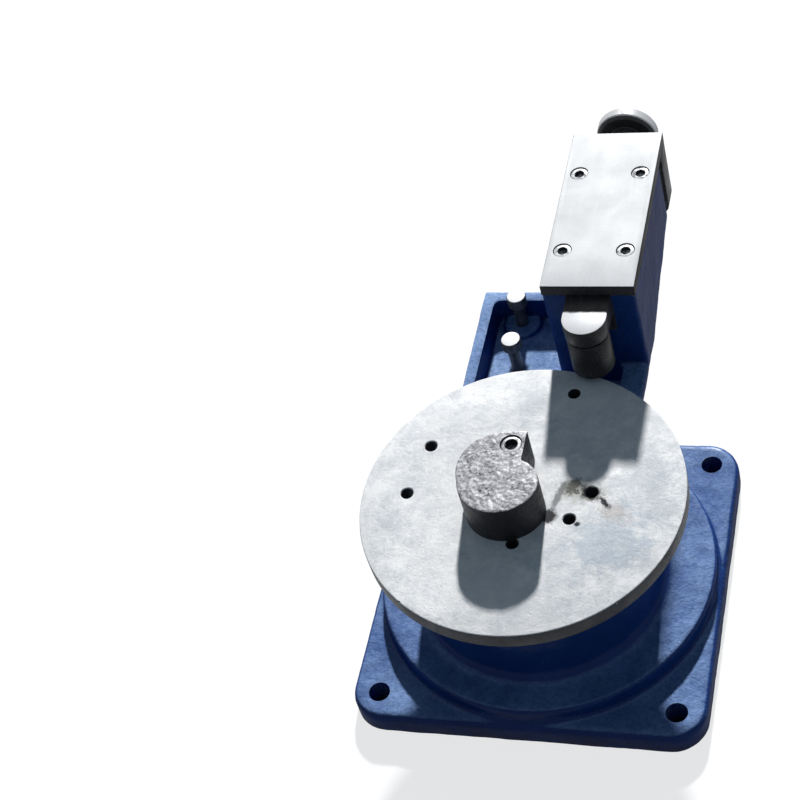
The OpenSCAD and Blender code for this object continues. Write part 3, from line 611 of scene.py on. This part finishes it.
# Scroll die with its screw and dowel
# A thick plate, flame-cut to a snail's outline of two lobes and a horn over the hook. Its top is burnt and
# lumpy, its sides are painted near black as shade, and one socket cap screw and a hidden dowel hold it to
# the disc.
die = bar_piece("die_detail", mm(-8.5, -20.5, 139), 32 * MM, 37.4 * MM, 96)
weld(die, bar_piece("back_lobe", mm(-9, -11, 139), 34 * MM, 37.4 * MM, 96))
horn = box_piece("horn", mm(-9, -10, 139), mm(6.6, 24.6, 176.4))
weld(die, move_corners(horn, lambda co: co.x < 0 < co.y, lambda co: (co.x, 23 * MM, co.z)))
notch = box_piece("notch", mm(5.6, -36.5, 130), mm(70, 60, 190))
cut(notch, bar_piece("run_in", mm(-0.19, -25.3, 120), 22.4 * MM, 80 * MM, 96))
cut(die, notch)
finish_with(die, "REMESH", mode="VOXEL", voxel_size=0.8 * MM)
finish_with(die, "SMOOTH", factor=0.5, iterations=3)
crust = die.vertex_groups.new(name="crust")
for corner in die.data.vertices:
    crust.add([corner.index], min(1, max(0, (corner.co.z - 171 * MM) / (4 * MM))), "REPLACE")
for size, depth in ((0.009, 0.0012), (0.003, 0.0006)):
    burn = bpy.data.textures.new("burn", "CLOUDS")
    burn.noise_scale = size
    burn.noise_depth = 3
    finish_with(die, "DISPLACE", texture=burn, texture_coords="LOCAL", direction="Z", strength=depth,
                mid_level=0.72, vertex_group="crust")
ripple = bpy.data.textures.new("ripple", "CLOUDS")
ripple.noise_scale = 0.006
finish_with(die, "DISPLACE", texture=ripple, texture_coords="LOCAL", strength=0.0004, mid_level=0.7)
die_bolt = (-4.6, 11.4)
seat = weld(bar_piece("screw_seat", mm(*die_bolt, 166), 8.5 * MM, 20 * MM, 64),
            bar_piece("screw_hole", mm(*die_bolt, 130), 5.2 * MM, 40 * MM, 48))
cut(die, box_piece("die_foot", mm(-80, -80, 130), mm(80, 80, disc_face)), seat)
smooth(die, 40)
die_steel, tree, surface, place = material("die_steel")
clots = maths(tree, "MULTIPLY", ramp(tree, grain(tree, place, 75, 5, 0.6), 0.38, 0.6, 0.35, 1),
              ramp(tree, grain(tree, place, 420, 7, 0.8, 0.2), 0.42, 0.6))
colour = blend_colours(tree, clots, (0.37, 0.37, 0.385, 1), (0.04, 0.04, 0.05, 1))
ridge = use(tree, edge_wear, [("Vector", place), ("Start", 0.53), ("Width", 0.04),
                              ("Patches", 200.0)])["Wear"]
colour = lay_over(tree, colour, ridge, 0.7, (0.62, 0.62, 0.64))
# The sides are painted near black as shade.
shaded_side = ramp(tree, tilt(tree), 0.55, 0.25)
colour = blend_colours(tree, shaded_side, colour, (0.014, 0.015, 0.018, 1))
tree.links.new(colour, surface["Base Color"])
tree.links.new(ramp(tree, clots, 0, 1, 0.38, 0.62), surface["Roughness"])
surface["Metallic"].default_value = 0.3
surface["Specular IOR Level"].default_value = 0.25
pits = maths(tree, "ADD", grain(tree, place, 420, 4, 0.7), clots)
emboss(tree, surface, 0.35, 0.0004, pits)
coat(die, die_steel)
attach(die, "turntable")
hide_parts("scroll_die")


def cap_screw(name, place, thread, shank, head, head_h, along="Z"):
    """A socket cap screw with its head's underside at place. Its head is knurled and chamfered."""
    sides = 60

    def every_other_side(face):
        number = round(math.atan2(face.normal.y, face.normal.x) * sides / (2 * math.pi) - 0.5)
        large = face.calc_area() > 0.3 * head_h * head * math.pi / sides
        return abs(face.normal.z) < 0.1 and large and number % 2

    screw = bar_piece(name, Vector((0, 0, 0)), head / 2, head_h, sides)
    round_off(screw, lambda edge: min(v.co.z for v in edge.verts) > 0.99 * head_h, 0.09 * head_h, 2)
    pick(screw, faces=every_other_side)
    bpy.ops.mesh.inset(thickness=0.0, depth=-0.012 * head, use_individual=True)
    close(screw)
    socket = bar_piece("socket", Vector((0, 0, 0.35 * head_h)), 0.53 * thread, head_h, 6)
    lead = bar_piece("lead", Vector((0, 0, 0.93 * head_h)), 0.47 * thread, 0.1 * head_h, 32,
                     far_radius=0.55 * thread)
    cut(screw, weld(socket, lead))
    stem = bar_piece("stem", Vector((0, 0, -shank)), thread / 2, shank + 0.2 * head_h, 32)
    round_off(stem, lambda edge: max(v.co.z for v in edge.verts) < -0.99 * shank, 0.09 * thread, 1)
    weld(screw, stem)
    if along == "Y":
        screw.rotation_euler.x = -math.pi / 2
    screw.location = place
    return smooth(settle(screw), 35)


def socket_rim(tree, place):
    """A mask of a screw head's level top, painted bright as lit. Its sunk socket and sides are painted
    black as shade.
    """
    spread = ramp(tree, grain(tree, place, 300, 3), 0.3, 0.55)
    return maths(tree, "MULTIPLY", facing_up(tree, place), spread)


# Lit and shaded copies of one steel: level tops are painted bright as lit, and the rest is painted black
# as shade.
screw_steel = metal("screw_steel", (0.05, 0.05, 0.055), (0.02, 0.02, 0.022), 0.3, 0.5, spots=120,
                    metallic=0.2, rubbed_and_lit=(0.72, 0.72, 0.73), where=socket_rim)
die_screw = cap_screw("die_screw_detail", mm(*die_bolt, 165), 10 * MM, 37 * MM, 16 * MM, 10 * MM)
coat(die_screw, screw_steel)
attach(die_screw, "turntable")
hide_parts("die_screw")
dress("die_dowel", race_steel)

# Cover plate and its screws
# A sawn steel plate that closes the ram's channel. Its top is ground bright, and its four low-head cap
# screws sit in counterbores.
cover = box_piece("cover_detail", mm(housing_side, housing_front, housing_top), mm(arm_side, 313, 208))
round_off(cover, lambda edge: True, 0.6 * MM)
cover_seat = 202.2
for x, y in cover_bolts:
    cut(cover, weld(bar_piece("clear_hole", mm(x, y, 190), 4.2 * MM, 30 * MM, 40),
                    bar_piece("counterbore", mm(x, y, cover_seat), 7.5 * MM, 10 * MM, 48)))
smooth(cover, 30)


def ground_faces(tree, place):
    """A mask of the cover's top and of its counterbores. Its sawn sides are painted dark as shade."""
    from_middle = vectors(tree, "SUBTRACT", place, mm(37.5, 227, 203))[0]
    from_middle = vectors(tree, "ABSOLUTE", from_middle)[0]
    inside = maths(tree, "MULTIPLY", ramp(tree, one_axis(tree, from_middle, "X"), 0.0362, 0.036),
                   ramp(tree, one_axis(tree, from_middle, "Y"), 0.0852, 0.085))
    return maths(tree, "MAXIMUM", facing_up(tree, place), inside)


# The cover's top is ground bright, and its sides are painted near black as shade.
coat(cover, metal("ground_plate", (0.05, 0.05, 0.053), (0.025, 0.025, 0.028), 0.58, 0.7, spots=22,
                  marks=0.25, metallic=0.08, rubbed_and_lit=(0.80, 0.80, 0.80), where=ground_faces, wear=0.0))
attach(cover, "frame")
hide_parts("cover_plate")
cover_screws = joined("cover_screws_detail", [
    cap_screw("cover_screw", mm(x, y, cover_seat), 8 * MM, 26.2 * MM, 13.8 * MM, 5 * MM)
    for x, y in cover_bolts])
coat(cover_screws, screw_steel)
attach(cover_screws, "frame")
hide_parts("cover_screws")

# Rear block and its screws
# A blackened steel block, sawn and milled, that carries the feed screw's bush. Four cap screws from
# behind hold it to the housing, and a narrow step leaves a groove before the housing.


def low_side(edge):
    a, b = (v.co for v in edge.verts)
    return max(a.z, b.z) < 135 * MM and abs(a.x - b.x) < 1e-6


def break_edges(piece, width):
    finish_with(piece, "BEVEL", width=width, segments=2, limit_method="ANGLE",
                angle_limit=math.radians(50))


block = box_piece("rear_block_detail", mm(housing_side, 293, 134), mm(arm_side, 312, housing_top))
round_off(block, low_side, 10 * MM, 8)
weld(block, box_piece("step", mm(3, housing_rear + 0.1, 142.5), mm(72, 295, housing_top)))
holes = [weld(bar_piece("bush_seat", on_feed(280), 12 * MM, 40 * MM, 64, "Y"),
              bar_piece("bush_flange_seat", on_feed(280), 17.1 * MM, 8 * MM, 64, "Y"))]
block_seat = 305
for x, z in block_bolts:
    holes.append(weld(bar_piece("clear_hole", mm(x, 280, z), 3.2 * MM, 40 * MM, 32, "Y"),
                      bar_piece("counterbore", mm(x, block_seat, z), 5.5 * MM, 10 * MM, 40, "Y")))
cut(block, *holes)
break_edges(block, 0.7 * MM)
smooth(block, 30)
coat(block, blued_steel)
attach(block, "frame")
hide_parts("rear_block")
block_screws = joined("block_screws_detail", [
    cap_screw("block_screw", mm(x, block_seat, z), 6 * MM, 30 * MM, 10 * MM, 6 * MM, "Y")
    for x, z in block_bolts])
coat(block_screws, black_oxide)
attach(block_screws, "frame")
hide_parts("block_screws")

# Ram, its nut and the roller's axle
# A milled bar with a half-round tongue over the roller. Lit and shaded copies of one steel: it is painted
# dark as shade, and the top of its nose in front of the cover is painted bright as lit. The bronze nut is
# let into its tail.


def on_axle(z):
    return mm(37.5, 118.5, z)


ram = box_piece("ram_detail", mm(20, 101, 159.9), mm(55, 270, 197.9))
round_off(ram, lambda edge: upright(edge) and edge.verts[0].co.y < 110 * MM, 17.45 * MM, 32)
cut(ram, box_piece("under_tongue", mm(0, 90, 150), mm(80, 139.5, 182)))
cut(ram, bar_piece("axle_seat", on_axle(180), 8 * MM, 14.9 * MM, 48),
    weld(bar_piece("screw_room", on_feed(171), 11.5 * MM, 120 * MM, 48, "Y"),
         bar_piece("nut_seat", on_feed(248), 14 * MM, 40 * MM, 64, "Y")))
break_edges(ram, 0.8 * MM)
smooth(ram, 30)


def lit_nose_top(tree, place):
    """A mask of the ram's top in front of the cover, painted bright as lit."""
    frayed = maths(tree, "MULTIPLY_ADD", grain(tree, place, 180, 4), 0.004, one_axis(tree, place, "Y"))
    return maths(tree, "MULTIPLY", facing_up(tree, place), ramp(tree, frayed, 0.1265, 0.1245))


# The nose top is painted bright as lit, and the rest is painted dark as shade.
coat(ram, metal("ram_steel", (0.05, 0.05, 0.052), (0.02, 0.02, 0.022), 0.3, 0.5, spots=70,
                metallic=0.2, rubbed_and_lit=(0.80, 0.80, 0.81), where=lit_nose_top))
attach(ram, "ram_slide")
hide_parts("ram")
for node in ("axle_pin", "axle_washers"):
    dress(node, race_steel)

# Forming roller
# Turned steel with a bronze bush, painted near black as shade. It runs on the axle under the tongue.


def turned(name, foot, rings, sides=96, along="Z", tube=False):
    """A turned piece, drawn out ring by ring from its foot. A ring is a radius and a height in mm."""
    deselect()
    bpy.ops.mesh.primitive_circle_add(vertices=sides, radius=rings[0][0] * MM, location=foot,
                                      fill_type="NOTHING" if tube else "NGON")
    bpy.ops.object.mode_set(mode="EDIT")
    bpy.ops.mesh.select_all(action="SELECT")
    radius, height = rings[0]
    for next_radius, next_height in rings[1:]:
        rise = (next_height - height) * MM
        bpy.ops.mesh.extrude_edges_move(TRANSFORM_OT_translate={"value": (0, 0, rise)})
        centre = foot + Vector((0, 0, (next_height - rings[0][1]) * MM))
        share = next_radius / radius
        bpy.ops.transform.resize(value=(share, share, 1), center_override=centre)
        radius, height = next_radius, next_height
    if not tube:
        bpy.ops.mesh.edge_face_add()
    bpy.ops.mesh.select_all(action="SELECT")
    bpy.ops.mesh.remove_doubles(threshold=1e-6)
    bpy.ops.mesh.normals_make_consistent(inside=False)
    bpy.ops.object.mode_set(mode="OBJECT")
    return named(name, along)


roller = turned("roller_detail", on_axle(144), [
    (14, 0), (15.5, 0), (16.6, 0.5), (17, 1.5), (17, 34.5), (16.6, 35.5), (15.5, 36), (11, 36), (11, 6),
    (14, 6), (14, 0)], tube=True)
smooth(roller, 35)
# The roller is painted near black as shade.
coat(roller, metal("roller_steel", (0.035, 0.035, 0.037), (0.014, 0.014, 0.016), 0.3, 0.5, metallic=0.2,
                   axis=(on_axle(0), (1, 1, 0))))
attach(roller, "forming_roller")
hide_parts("roller")

# Feed screw, thrust collar and knob
# The screw runs in the rear block's bush between its own collar and a set-screwed one. A turned knob is
# cross-pinned on its tail, and a square end takes a crank.
dress("feed_screw", metal("feed_steel", *TURNED_BRIGHT, 0.2, 0.4, axis=FEED))
dress("thrust_collar", blued_steel)
knob = turned("knob_detail", on_feed(326.6), [
    (7.1, 0), (13.4, 0), (14, 0.6), (14, 8.8), (14.6, 9.4), (19.8, 9.4), (22.6, 9.9), (24.9, 12.4),
    (25.5, 13.4), (25.5, 20.4), (25, 21.2), (24.4, 21.4), (7.6, 21.4), (7.1, 20.9), (7.1, 0)],
    128, "Y", tube=True)
cut(knob, bar_piece("pin_hole", mm(37.5, 342, 140), 2 * MM, 80 * MM, 24))
smooth(knob, 30)


def lit_knob_cylinder(tree, place):
    """A mask of the knob's cylinder, painted bright as lit. The rest of the knob is painted dark as shade.
    """
    across = vectors(tree, "SUBTRACT", place, FEED[0])[0]
    across = vectors(tree, "MULTIPLY", across, FEED[1])[0]
    return ramp(tree, vectors(tree, "LENGTH", across)["Value"], 0.0246, 0.025)


# Lit and shaded copies of one steel: the cylinder is painted bright as lit, and the ends are painted dark
# as shade.
knob_steel = metal("knob_steel", (0.06, 0.06, 0.063), (0.03, 0.03, 0.032), 0.4, 0.55, axis=FEED,
                   metallic=0.25, rubbed_and_lit=(0.62, 0.62, 0.63), where=lit_knob_cylinder)
coat(knob, knob_steel)
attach(knob, "feed")
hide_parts("feed_knob")
knob_pin = bar_piece("knob_pin_detail", mm(37.5, 342, 153.6), 1.98 * MM, 50.6 * MM, 24)
round_off(knob_pin, lambda edge: not upright(edge), 0.4 * MM, 2)
coat(smooth(knob_pin), knob_steel)
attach(knob_pin, "feed")
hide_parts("knob_pin")

# Bending pins
# Two plain headed pins, turned from bright steel bar, that are parked in drilled holes in the tray. Their
# level faces are bright, and the rest is painted dark as shade.
pin_rings = [(4.2, 0), (5, 0.8), (5, 37.2), (5.3, 38), (7.6, 38), (8, 38.4), (8, 47.2), (7.4, 47.9),
             (6.5, 48)]
pins = joined("bending_pins_detail", [
    turned("pin", mm(x, y, 87), pin_rings, 64) for x, y in parked_pins])
smooth(pins, 30)
# The shanks are painted dark as shade, and the level tops are bright.
coat(pins, metal("pin_steel", (0.16, 0.15, 0.145), (0.07, 0.065, 0.065), 0.28, 0.45, spots=90,
                 metallic=0.2, rubbed_and_lit=(0.86, 0.86, 0.87)))
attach(pins, "frame")
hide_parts("bending_pins")

# Floor, light and camera
# The bender stands on a plain white floor that has no end in sight. One sun and a faint blue sky light
# it, and a long lens looks down on it from the front.
deselect()
bpy.ops.mesh.primitive_plane_add(size=14, location=(0, 0, -0.0004))
floor = named("floor")
paper, tree, surface, place = material("paper")
surface["Roughness"].default_value = 0.9
surface["Specular IOR Level"].default_value = 0.1
rays = put(tree, "LightPath").outputs
seen = maths(tree, "MAXIMUM", rays["Is Camera Ray"], rays["Is Glossy Ray"])
# The floor is white all round, but not under the bolt holes, which look down on deep shade.
one_quarter = vectors(tree, "ABSOLUTE", place)[0]
from_bolt = vectors(tree, "DISTANCE", one_quarter, mm(bolt_reach, bolt_reach, 0))["Value"]
open_floor = maths(tree, "GREATER_THAN", from_bolt, 12 * MM)
pale = blend_colours(tree, open_floor, (0.02, 0.02, 0.02, 1), (0.30, 0.30, 0.30, 1))
tree.links.new(pale, surface["Base Color"])
seen = maths(tree, "MULTIPLY", seen, open_floor)
glow = blend_colours(tree, seen, (0, 0, 0, 1), (0.75, 0.75, 0.75, 1))
tree.links.new(glow, surface["Emission Color"])
surface["Emission Strength"].default_value = 1
coat(floor, paper)

world = bpy.data.worlds.new("studio")
bpy.context.scene.world = world
world.use_nodes = True
tree = world.node_tree
rays = put(tree, "LightPath").outputs
seen = maths(tree, "MAXIMUM", maths(tree, "MAXIMUM", rays["Is Camera Ray"], rays["Is Glossy Ray"]),
             rays["Is Transmission Ray"])
white = put(tree, "Background", [("Color", (1, 1, 1, 1)), ("Strength", 1.0)])
fill = put(tree, "Background", [("Color", (0.45, 0.72, 1, 1)), ("Strength", 0.13)])
mixed = put(tree, "MixShader", [(0, seen), (1, fill.outputs[0]), (2, white.outputs[0])])
tree.links.new(mixed.outputs[0], tree.nodes["World Output"].inputs["Surface"])

# The sun stands behind the bender.
key = bpy.data.lights.new("key", "SUN")
key.energy = 5.1
key.angle = math.radians(3)
key_lamp = bpy.data.objects.new("key", key)
bpy.context.scene.collection.objects.link(key_lamp)
key_lamp.rotation_euler = Vector((0.08, -0.865, -0.495)).to_track_quat("-Z", "Y").to_euler()

# The camera's place and turn were fitted to the foot, the disc and the cover.
camera = bpy.data.objects.new("camera", bpy.data.cameras.new("camera"))
bpy.context.scene.collection.objects.link(camera)
camera.matrix_world = Matrix((
    (0.9515, -0.0197, 0.3070, 0.3525),
    (0.2101, 0.7703, -0.6019, -0.8367),
    (-0.2247, 0.6373, 0.7371, 1.2631),
    (0, 0, 0, 1)))
camera.data.lens = 85.77
camera.data.sensor_width = 36
camera.data.clip_end = 50
bpy.context.scene.camera = camera
bpy.context.scene.view_settings.view_transform = "Standard"
